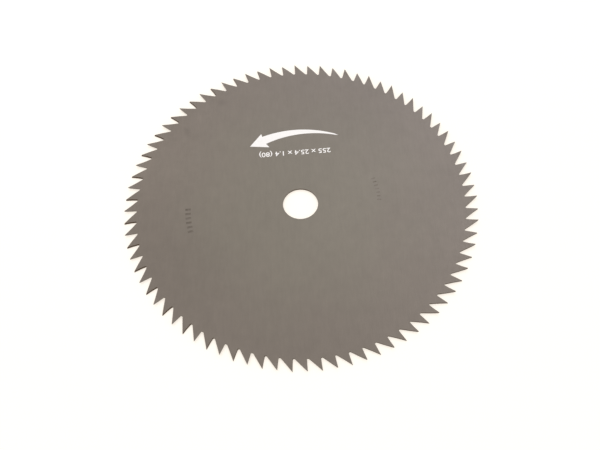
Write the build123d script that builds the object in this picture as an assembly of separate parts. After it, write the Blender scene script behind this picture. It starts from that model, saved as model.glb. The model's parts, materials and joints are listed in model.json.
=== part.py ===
from build123d import *
import os
from math import acos, atan2, cos, radians, sin, tan

# Brush cutter blade: a flat steel disc with a plain bore and a rim of crosscut saw teeth.
# The disc and its teeth are punched from one sheet. The teeth are then bent alternately up and
# down, and their fronts are filed at a slant, so that a tip leads on the side it is bent towards.
# The backs stay square, as they were punched.
#
# Millimetres. The origin is the centre of the bore at half the plate's thickness. +Z is the
# printed face, and the first tooth, which is bent up, points along +X. The teeth cut
# counter-clockwise, seen from above.

# The plate
blade_diameter = 255.0    # over the tips, at the face on which a tooth reaches furthest out
plate_thickness = 1.4
bore_diameter = 25.4

# The teeth
tooth_pairs = 40          # each pair is one tooth bent up and one bent down
tooth_depth = 9.05        # from the tip circle in to the floor of a gullet
gullet_radius = 0.75      # round floor between two teeth
rake_angle = 0.6          # a tip leads the foot of its front face by this many degrees
file_angle = 12.5         # slant of a filed front through the plate
tooth_set = 0.45          # how far a tip is bent out of the flat plate
set_depth = 4.8           # from the tip circle in to the line at which a tooth is bent

# What follows from them
tip_radius = blade_diameter / 2
bend_radius = tip_radius - set_depth
pitch = 180 / tooth_pairs
rake = radians(rake_angle)
slant = tan(radians(file_angle))
tip_height = plate_thickness / 2 + tooth_set
spare = plate_thickness   # how far stock and cutters run past the finished faces


def gullet_points():
    """Front foot, floor, back foot and next tip of the gullet in front of the tooth on +X."""
    centre_x = tip_radius - tooth_depth + gullet_radius
    front_y = -(tip_radius - centre_x) * tan(rake)
    centre = Vector(centre_x, front_y + gullet_radius / cos(rake))
    front_foot = centre + gullet_radius * Vector(sin(rake), -cos(rake))
    floor = centre - Vector(gullet_radius, 0)
    next_tip = Vector(tip_radius, 0).rotate(Axis.Z, pitch)
    to_tip = next_tip - centre
    tangent = atan2(to_tip.Y, to_tip.X) + acos(gullet_radius / to_tip.length)
    back_foot = centre + gullet_radius * Vector(cos(tangent), sin(tangent))
    return front_foot, floor, back_foot, next_tip


def gullet(side):
    """What is taken out in front of a tooth: the square punched gullet and the slanted file cut.

    The two meet at the height of the tip, on the side that the tooth is bent towards. From there
    the file leans in under the tooth, by which its front stands back on the other side.
    """
    front_foot, floor, back_foot, next_tip = gullet_points()
    front_top = front_foot + (tooth_depth + spare) * Vector(cos(rake), sin(rake))
    back_top = next_tip + 2 * spare * (next_tip - back_foot).normalized()
    outline = make_face(
        [
            Line(front_top, front_foot),
            ThreePointArc(front_foot, floor, back_foot),
            Line(back_foot, back_top),
            Line(back_top, front_top),
        ]
    )
    half_travel = tip_height + spare
    punched = extrude(outline, amount=half_travel, both=True)
    stand_back = Vector(0, -slant * tip_height)
    travel = Vector(0, side * slant * half_travel, half_travel)
    file_start = Pos(*(stand_back - travel)) * outline
    filed = extrude(file_start, amount=2 * travel.length, dir=travel.normalized())
    return punched + filed


def tooth_middle():
    """Angle of the middle of a tooth at its bend line. Its tip is at 0, further forward."""
    front_foot, _, back_foot, next_tip = gullet_points()
    tip = next_tip.rotate(Axis.Z, -pitch)
    own_back_foot = back_foot.rotate(Axis.Z, -pitch)
    foot_middle = (front_foot + own_back_foot) * 0.5
    share = set_depth / (tip_radius - foot_middle.length)
    middle = tip + share * (foot_middle - tip)
    return Vector(1, 0).get_signed_angle(middle, Vector(0, 0, 1))


def tooth_stock(side):
    """One tooth's share of the disc: flat out to the bend line, then leaning to its side."""
    stock_radius = tip_radius + spare
    half_width = stock_radius * tan(radians(pitch / 2))
    half_sheet = plate_thickness / 2
    rise = side * tooth_set * (stock_radius - bend_radius) / set_depth
    middle_line = [(0, 0), (bend_radius, 0), (stock_radius, rise)]
    underside = [(x, z - half_sheet) for x, z in middle_line]
    top_side = [(x, z + half_sheet) for x, z in reversed(middle_line)]
    section = make_face(Polyline(*underside, *top_side, close=True))
    strip = extrude(Plane.XZ * section, amount=half_width, both=True)
    sector = make_face(
        Polyline((0, 0), (stock_radius, -half_width), (stock_radius, half_width), close=True)
    )
    share = extrude(sector, amount=tip_height + spare, both=True)
    return Rot(0, 0, tooth_middle()) * (strip & share)


def tooth(side):
    """The tooth on +X with its share of the disc, bent to one side, between its two gullets."""
    gullet_behind = Rot(0, 0, -pitch) * gullet(-side)
    return tooth_stock(side) - gullet(side) - gullet_behind


def blade():
    bore = Cylinder(bore_diameter / 2, 2 * plate_thickness)
    pair = tooth(1) + Rot(0, 0, pitch) * tooth(-1) - bore
    first, *others = [Rot(0, 0, 2 * pitch * turn) * pair for turn in range(tooth_pairs)]
    return first.fuse(*others).clean()


os.makedirs("parts", exist_ok=True)
part = blade()
part.label = "blade"
export_step(part, "parts/blade.step")
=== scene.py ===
import json
from math import acos, cos, radians, sin

import bmesh
import bpy
from mathutils import Matrix, Vector


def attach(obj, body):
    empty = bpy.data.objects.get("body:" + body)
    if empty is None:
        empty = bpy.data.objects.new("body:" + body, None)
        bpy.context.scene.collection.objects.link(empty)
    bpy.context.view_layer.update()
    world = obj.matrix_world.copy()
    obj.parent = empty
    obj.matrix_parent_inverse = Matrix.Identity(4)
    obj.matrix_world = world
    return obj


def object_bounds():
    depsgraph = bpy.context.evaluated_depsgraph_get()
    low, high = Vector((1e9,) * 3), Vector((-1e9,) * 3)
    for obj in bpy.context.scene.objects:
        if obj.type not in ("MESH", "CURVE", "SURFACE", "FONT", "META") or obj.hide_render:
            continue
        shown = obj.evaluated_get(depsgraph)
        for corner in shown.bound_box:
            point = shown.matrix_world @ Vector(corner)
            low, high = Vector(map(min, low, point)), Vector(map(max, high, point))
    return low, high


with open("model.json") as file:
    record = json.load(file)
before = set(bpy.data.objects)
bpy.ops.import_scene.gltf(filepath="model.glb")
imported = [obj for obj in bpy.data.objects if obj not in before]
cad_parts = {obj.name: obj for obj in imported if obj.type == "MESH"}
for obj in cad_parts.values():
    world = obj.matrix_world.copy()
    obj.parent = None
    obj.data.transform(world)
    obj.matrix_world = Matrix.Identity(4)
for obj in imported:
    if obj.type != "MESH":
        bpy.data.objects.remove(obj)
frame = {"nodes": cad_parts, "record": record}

cad_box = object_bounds()

# Saw disc. One sheet of hardened tool steel, 255 mm over its 80 teeth and 1.4 mm thick. It is
# punched, ground flat and given a thin matt lacquer. The walls of the bore and of the teeth are
# coloured dark brown.
MM = 0.001
blade = frame["nodes"]["blade"]
middle_grey, rim_grey = "#7E766A", "#7C7268"
wall_brown, worn_wall_brown = "#463A30", "#5E4E40"
face_roughness, wall_roughness = 0.48, 0.35
face_lacquer, wall_lacquer = 0.2, 0.0
steepest_face = 0.5       # the upward share of a surface's direction below which it is a wall
handling_marks = (
    # across the face, up it, and reach, in millimetres, and the share by which it is darker
    (-83.9, 69.6, 4.4, 0.15),
    (-83.3, 66.0, 4.0, 0.07),
    (-78.4, 62.6, 6.5, 0.07),
    (-74.0, 79.0, 13.0, -0.05),
    (-57.0, 94.2, 5.5, 0.10),
    (-66.0, 88.0, 10.0, -0.04),
)
painted_sheen_and_shade = (
    # the same, for broad patches of painted sheen and painted shade on the face
    (118, -25, 50, -0.070),
    (-110, 42, 50, -0.075),
    (-88, -58, 55, 0.045),
    (62, 92, 48, 0.040),
    (30, -32, 55, -0.030),
)


def srgb(code):
    """An sRGB hex colour as the linear colour that Blender works in."""
    parts = [int(code[i:i + 2], 16) / 255 for i in (1, 3, 5)]
    return [c / 12.92 if c <= 0.04045 else ((c + 0.055) / 1.055) ** 2.4 for c in parts] + [1.0]


def emptied(block):
    """The node tree of a new material or world, with nothing in it yet."""
    block.use_nodes = True
    block.node_tree.nodes.clear()
    return block.node_tree


def add(tree, kind, inputs=None, **settings):
    """Adds one node, with its settings, and with values or links for its inputs.

    An input that is given as a node is linked to the first output that the node has in use.
    """
    node = tree.nodes.new("ShaderNode" + kind)
    for name, value in settings.items():
        setattr(node, name, value)
    for name, value in (inputs or {}).items():
        socket = node.inputs[name]
        if isinstance(value, bpy.types.Node):
            value = next(output for output in value.outputs if output.enabled)
        if isinstance(value, bpy.types.NodeSocket):
            tree.links.new(value, socket)
        else:
            socket.default_value = value
    return node


def mottled(tree, patch, one, other, detail=3.0):
    """A colour that wanders between two others, in patches of a real size."""
    place = add(tree, "TexCoord").outputs["Object"]
    noise = add(tree, "TexNoise", {"Vector": place, "Scale": 1 / patch, "Detail": detail})
    colours = {"Factor": noise, "A": srgb(one), "B": srgb(other)}
    return add(tree, "Mix", colours, data_type="RGBA")


def ground_streaks(tree, place, width, length, detail):
    """Noise drawn out along the sheet, as the grinding wheel draws its scratches."""
    shrink = (1 / width, 1 / length, 1 / width)
    along = add(tree, "VectorMath", {0: place, 1: shrink}, operation="MULTIPLY")
    return add(tree, "TexNoise", {"Vector": along, "Scale": 1.0, "Detail": detail})


def lacquered_tool_steel():
    """Ground steel under matt lacquer: a quiet warm grey with a slight mottle and no mirror.

    Walls are told from faces by direction. They are dark brown, and read as a thin dark line that
    makes the plate's thickness show where a wall faces the eye.
    """
    material = bpy.data.materials.new("lacquered_tool_steel")
    tree = emptied(material)
    place = add(tree, "TexCoord").outputs["Object"]
    flat_place = add(tree, "VectorMath", {0: place, 1: (1, 1, 0)}, operation="MULTIPLY")

    # The hardened rim is a little browner than the middle. The change begins about 30 mm out and
    # is full at about 120 mm, and noise in patches of 45 mm moves it in and out.
    browning_begins, browning_ends, wander = 30 * MM, 120 * MM, 60 * MM
    from_middle = add(tree, "VectorMath", {0: flat_place}, operation="LENGTH")
    loose = add(tree, "TexNoise", {"Vector": place, "Scale": 1 / (45 * MM), "Detail": 2.0})
    moved = add(tree, "Math", {0: loose, 1: wander, 2: from_middle}, operation="MULTIPLY_ADD")
    rim_share = add(
        tree,
        "MapRange",
        {
            "Value": moved,
            "From Min": browning_begins + wander / 2,
            "From Max": browning_ends + wander / 2,
        },
        interpolation_type="SMOOTHSTEP",
    )
    greys = {"Factor": rim_share, "A": srgb(middle_grey), "B": srgb(rim_grey)}
    face_hue = add(tree, "Mix", greys, data_type="RGBA")

    # The lacquer clouds in patches about 9 mm across. Over about 90 mm a noise paints broad light
    # and shade on the face, in place of the studio's reflection. The grinding wheel left a faint
    # grain under the lacquer, in streaks about 1.5 mm wide.
    painted_shade_seed = 27.5     # picks where the painted broad light and shade falls
    clouds = add(tree, "TexNoise", {"Vector": place, "Scale": 1 / (9 * MM), "Detail": 4.0})
    painted_broad_shade = add(
        tree,
        "TexNoise",
        {"Vector": place, "W": painted_shade_seed, "Scale": 1 / (90 * MM), "Detail": 1.0},
        noise_dimensions="4D",
    )
    grain = ground_streaks(tree, place, 1.5 * MM, 9 * MM, 3.0)
    tone = 1.0
    for pattern, low, high, strength in (
        # noise, the range in which nearly all of it lies, and how much lighter its peaks are
        (clouds, 0.3, 0.7, 0.028),
        (painted_broad_shade, 0.33, 0.73, -0.03),
        (grain, 0.3, 0.7, 0.025),
    ):
        change = add(
            tree,
            "MapRange",
            {
                "Value": pattern,
                "From Min": low,
                "From Max": high,
                "To Min": 1 - strength,
                "To Max": 1 + strength,
            },
        )
        tone = add(tree, "Math", {0: tone, 1: change}, operation="MULTIPLY")

    # Handling has left a few soft marks near the rim, and some wide places carry painted sheen and
    # painted shade. All have ragged edges. The rags add about half the reach to a distance, so a
    # mark fades from its middle on and is gone about one reach away.
    fades_from, fades_to = 0.4, 1.5
    ragged = add(tree, "TexNoise", {"Vector": place, "Scale": 1 / (4 * MM), "Detail": 3.0})
    for across, up, reach, darker in handling_marks + painted_sheen_and_shade:
        reach *= MM
        middle = (across * MM, up * MM, 0)
        apart = add(tree, "VectorMath", {0: flat_place, 1: middle}, operation="DISTANCE")
        edge = add(tree, "Math", {0: ragged, 1: reach, 2: apart}, operation="MULTIPLY_ADD")
        dimming = add(
            tree,
            "MapRange",
            {
                "Value": edge,
                "From Min": fades_from * reach,
                "From Max": fades_to * reach,
                "To Min": 1 - darker,
                "To Max": 1.0,
            },
            interpolation_type="SMOOTHSTEP",
        )
        tone = add(tree, "Math", {0: tone, 1: dimming}, operation="MULTIPLY")
    face_colour = add(tree, "VectorMath", {0: face_hue, "Scale": tone}, operation="SCALE")

    # The walls, dark brown with lighter patches about 3 mm long.
    normal = add(
        tree,
        "VectorTransform",
        {"Vector": add(tree, "NewGeometry").outputs["True Normal"]},
        vector_type="NORMAL",
        convert_from="WORLD",
        convert_to="OBJECT",
    )
    upright = add(tree, "SeparateXYZ", {"Vector": normal}).outputs["Z"]
    flatness = add(tree, "Math", {0: upright}, operation="ABSOLUTE")
    is_wall = add(tree, "Math", {0: flatness, 1: steepest_face}, operation="LESS_THAN")
    wall_colour = mottled(tree, 3 * MM, worn_wall_brown, wall_brown)
    face_or_wall = {"Factor": is_wall, "A": face_colour, "B": wall_colour}
    colour = add(tree, "Mix", face_or_wall, data_type="RGBA")
    roughness = add(
        tree, "MapRange", {"Value": is_wall, "To Min": face_roughness, "To Max": wall_roughness}
    )
    lacquer = add(
        tree, "MapRange", {"Value": is_wall, "To Min": face_lacquer, "To Max": wall_lacquer}
    )

    # Finer grinding lines show through the lacquer as relief. They are drawn 0.3 mm wide, coarser
    # than the real ones, so that they show from close by.
    lines = ground_streaks(tree, place, 0.3 * MM, 6 * MM, 2.0)
    relief = add(tree, "Bump", {"Height": lines, "Strength": 1.0, "Distance": 0.05 * MM})
    shader = add(
        tree,
        "BsdfPrincipled",
        {
            "Base Color": colour,
            "Metallic": 0.85,
            "Roughness": roughness,
            "Coat Weight": lacquer,
            "Coat Roughness": 0.35,
            "Normal": relief,
            "Coat Normal": relief,
        },
    )
    add(tree, "OutputMaterial", {"Surface": shader})
    return material


blade.data.materials[0] = lacquered_tool_steel()

# Turning arrow. White enamel ink, screen-printed on the upper face. It is a crescent between two
# round edges that close to a fine tail, and its barbed head leads the way that the blade turns.
mounts = {mount["name"]: mount for mount in frame["record"]["mounts"]}
blade_top = mounts["upper_clamp_face"]["pos_m"][2]
ink_rise = 0.03 * MM
ink_sink = 0.005 * MM     # how far a print reaches into the plate, so that no gap shows under it
arrow_back_centre = Vector((0.95, -10.95)) * MM
arrow_back_radius = 76.2 * MM
arrow_belly_centre = Vector((9.66, -13.65)) * MM
arrow_belly_radius = 75.17 * MM
arrow_tail_x = 28.0 * MM
arrow_tail_end = Vector((30.7, 58.8)) * MM
arrow_upper_neck_x = -26.6 * MM
arrow_lower_neck_x = -23.9 * MM
arrow_upper_barb = Vector((-27.4, 62.7)) * MM
arrow_tip = Vector((-35.95, 51.75)) * MM
arrow_lower_barb = Vector((-21.4, 50.4)) * MM
arrow_steps = 48          # straight pieces in each round edge


def arc(centre, radius, x_from, x_to):
    """Points along the upper half of a circle, between two places across the blade."""
    start, end = (acos((x - centre.x) / radius) for x in (x_from, x_to))
    turns = [start + (end - start) * step / arrow_steps for step in range(arrow_steps + 1)]
    return [centre + radius * Vector((cos(turn), sin(turn))) for turn in turns]


def lay_on_blade(name, shape, material):
    """Makes closed films into one piece that lies on the blade and turns with it."""
    mesh = bpy.data.meshes.new(name)
    shape.to_mesh(mesh)
    shape.free()
    mesh.materials.append(material)
    piece = bpy.data.objects.new(name, mesh)
    bpy.context.scene.collection.objects.link(piece)
    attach(piece, "root")


def films(outlines, rise):
    """Thin closed films on the upper face, one for each outline."""
    shape = bmesh.new()
    for outline in outlines:
        foot, top = (
            [shape.verts.new((point.x, point.y, level)) for point in outline]
            for level in (blade_top - ink_sink, blade_top + rise)
        )
        shape.faces.new(foot)
        shape.faces.new(top)
        for i in range(len(outline)):
            shape.faces.new((foot[i - 1], foot[i], top[i], top[i - 1]))
    bmesh.ops.recalc_face_normals(shape, faces=shape.faces)
    bmesh.ops.triangulate(shape, faces=[f for f in shape.faces if len(f.verts) > 4])
    return shape


def screen_ink():
    """Screen-printed enamel ink: dead white and nearly matt, faintly uneven from the screen."""
    material = bpy.data.materials.new("screen_printed_ink")
    tree = emptied(material)
    colour = mottled(tree, 1.2 * MM, "#FAF6F4", "#F0EBE7")
    shader = add(tree, "BsdfPrincipled", {"Base Color": colour, "Roughness": 0.55})
    add(tree, "OutputMaterial", {"Surface": shader})
    return material


ink = screen_ink()
arrow_outline = [
    *arc(arrow_back_centre, arrow_back_radius, arrow_tail_x, arrow_upper_neck_x),
    arrow_upper_barb,
    arrow_tip,
    arrow_lower_barb,
    *arc(arrow_belly_centre, arrow_belly_radius, arrow_lower_neck_x, arrow_tail_x),
    arrow_tail_end,
]
lay_on_blade("turning_arrow", films([arrow_outline], ink_rise), ink)

# Size line. White ink like the arrow's, in plain figures read with the bore above them: the
# blade's diameter, bore and thickness in millimetres, and its number of teeth.
line_text = "255 x 25.4 x 1.4 (80)"
line_length = 53.4 * MM
line_height = 4.0 * MM
line_centre = Vector((-2.5, 44.5)) * MM
line_tilt = 182.1         # in degrees
line_boldness = 0.012     # how far each stroke's edge is moved out, as a share of the letter size
line_weld = 0.0005 * MM   # corners closer than this are one


def line_letters():
    """The line's letters as closed films, drawn in Blender's own plain font and fitted in place."""
    curve = bpy.data.curves.new("size_line", "FONT")
    curve.body = line_text
    curve.align_x = "CENTER"
    curve.resolution_u = 3
    curve.offset = line_boldness
    curve.extrude = 0.5   # to each side, so the letters are 1 thick until they are fitted
    carrier = bpy.data.objects.new("size_line_curve", curve)
    bpy.context.scene.collection.objects.link(carrier)
    depsgraph = bpy.context.evaluated_depsgraph_get()
    letters = bpy.data.meshes.new_from_object(carrier.evaluated_get(depsgraph))
    bpy.data.objects.remove(carrier)

    xs = [v.co.x for v in letters.vertices]
    length = max(xs) - min(xs)
    height = max(v.co.y for v in letters.vertices)
    thickness = ink_sink + ink_rise
    middle = blade_top - ink_sink + thickness / 2
    letters.transform(
        Matrix.Translation((line_centre.x, line_centre.y, middle))
        @ Matrix.Rotation(radians(line_tilt), 4, "Z")
        @ Matrix.Diagonal((line_length / length, line_height / height, thickness, 1))
        @ Matrix.Translation((-(max(xs) + min(xs)) / 2, -height / 2, 0))
    )
    shape = bmesh.new()
    shape.from_mesh(letters)
    bpy.data.meshes.remove(letters)
    bmesh.ops.remove_doubles(shape, verts=shape.verts, dist=line_weld)
    bmesh.ops.recalc_face_normals(shape, faces=shape.faces)
    bmesh.ops.triangulate(shape, faces=shape.faces)
    return shape


lay_on_blade("size_line", line_letters(), ink)

# Tally marks. Two rows of plain bars, burnt a little darker than the lacquer by a laser, one to
# each side of the bore. The left row has the heavier bars.
mark_rise = 0.01 * MM
bar_rows = (
    # radius, turns in degrees of the first bar and from each to the next, number, length, width
    (81.3 * MM, 180.6, 2.58, 6, 4.0 * MM, 1.7 * MM),
    (57.0 * MM, 0.7, 3.08, 7, 2.8 * MM, 0.9 * MM),
)


def bar_outline(radius, turn, length, width):
    """The four corners of a bar that points away from the bore."""
    out = Vector((cos(radians(turn)), sin(radians(turn))))
    across = Vector((-out.y, out.x))
    corners = ((-1, -1), (1, -1), (1, 1), (-1, 1))
    return [(radius + i * length / 2) * out + j * width / 2 * across for i, j in corners]


def laser_mark():
    """Laser-darkened lacquer: a soft brown-black that is a little uneven from bar to bar."""
    material = bpy.data.materials.new("laser_darkened_lacquer")
    tree = emptied(material)
    colour = mottled(tree, 2.5 * MM, "#4E463E", "#8A8076", detail=2.0)
    finish = {"Base Color": colour, "Metallic": 0.85, "Roughness": 0.5}
    shader = add(tree, "BsdfPrincipled", finish)
    add(tree, "OutputMaterial", {"Surface": shader})
    return material


bars = [
    bar_outline(radius, first + place * step, length, width)
    for radius, first, step, number, length, width in bar_rows
    for place in range(number)
]
lay_on_blade("tally_marks", films(bars, mark_rise), laser_mark())

# Studio. A white sheet under the blade and an even white room. A square soft box behind the blade
# lights what is matt, and a long cool strip to its right shows only in the metal.
floor_size = 6.0
floor_level = cad_box[0].z
sheet_glow = 0.72         # what the sheet adds, for the eye alone, to the light that it scatters
room_light = 0.92         # strength of the room as a light
room_seen = 1.0           # strength of the room as the eye sees it


def seen_directly(tree):
    """1 for what the eye sees, by itself, in metal or through glass, and 0 for other light."""
    ray = add(tree, "LightPath").outputs
    seen = ray["Is Camera Ray"]
    for kind in ("Is Glossy Ray", "Is Transmission Ray"):
        seen = add(tree, "Math", {0: seen, 1: ray[kind]}, operation="MAXIMUM")
    return seen


def white_sheet():
    """Matt white paper with fine fibres. It reads as white, and the shadow as a warm edge."""
    material = bpy.data.materials.new("white_paper")
    tree = emptied(material)
    paper = add(tree, "BsdfDiffuse", {"Color": mottled(tree, 1.5 * MM, "#ADADAD", "#A7A7A7")})
    glow = add(tree, "Math", {0: seen_directly(tree), 1: sheet_glow}, operation="MULTIPLY")
    shine = add(tree, "Emission", {"Color": srgb("#FFF5E6"), "Strength": glow})
    both = add(tree, "AddShader", {0: paper, 1: shine})
    add(tree, "OutputMaterial", {"Surface": both})
    return material


bpy.ops.mesh.primitive_plane_add(size=floor_size, location=(0, 0, floor_level))
floor = bpy.context.object
floor.name = "floor"
floor.data.materials.append(white_sheet())

world = bpy.data.worlds.new("white_room")
bpy.context.scene.world = world
sky = emptied(world)
level = add(
    sky, "MapRange", {"Value": seen_directly(sky), "To Min": room_light, "To Max": room_seen}
)
room = add(sky, "Background", {"Color": srgb("#FFFFFF"), "Strength": level})
add(sky, "OutputWorld", {"Surface": room})


def soft_box(name, place, width, height, power, tint, in_metal):
    """A lamp that faces the blade, and that shows either in metal or on what is matt."""
    light = bpy.data.lights.new(name, "AREA")
    light.shape = "RECTANGLE"
    light.size = width
    light.size_y = height
    light.energy = power
    light.color = srgb(tint)[:3]
    box = bpy.data.objects.new(name, light)
    bpy.context.scene.collection.objects.link(box)
    box.location = place
    box.rotation_euler = (-Vector(place)).to_track_quat("-Z", "Y").to_euler()
    box.visible_glossy = in_metal
    box.visible_diffuse = not in_metal


soft_box(
    "key",
    place=(-0.2, 0.9, 1.2),
    width=1.2,
    height=1.2,
    power=5.0,
    tint="#FFFFFF",
    in_metal=False,
)
soft_box(
    "sheen",
    place=(0.7, 0.76, 0.95),
    width=2.2,
    height=0.5,
    power=5.8,
    tint="#D6E4FF",
    in_metal=True,
)

# Camera. It stands before the blade and looks down on it at the photograph's angle, with the whole
# disc in view. Its angles are in degrees.
camera_azimuth = 0.345
camera_elevation = 60.51
camera_distance = 641.5 * MM
camera_aim = Vector((-1.04, -17.28, 0)) * MM
camera_roll = -2.86
camera_lens = 53.96

lens = bpy.data.cameras.new("camera")
lens.lens = camera_lens
lens.sensor_width = 36.0
lens.clip_start = 0.01
camera = bpy.data.objects.new("camera", lens)
bpy.context.scene.collection.objects.link(camera)
around = radians(camera_azimuth)
above = radians(camera_elevation)
back = Vector((sin(around) * cos(above), -cos(around) * cos(above), sin(above)))
camera.location = camera_aim + camera_distance * back
camera.rotation_mode = "QUATERNION"
level_view = (-back).to_track_quat("-Z", "Y")
roll = Matrix.Rotation(radians(camera_roll), 3, "Z").to_quaternion()
camera.rotation_quaternion = level_view @ roll
bpy.context.scene.camera = camera
bpy.context.scene.view_settings.view_transform = "Standard"
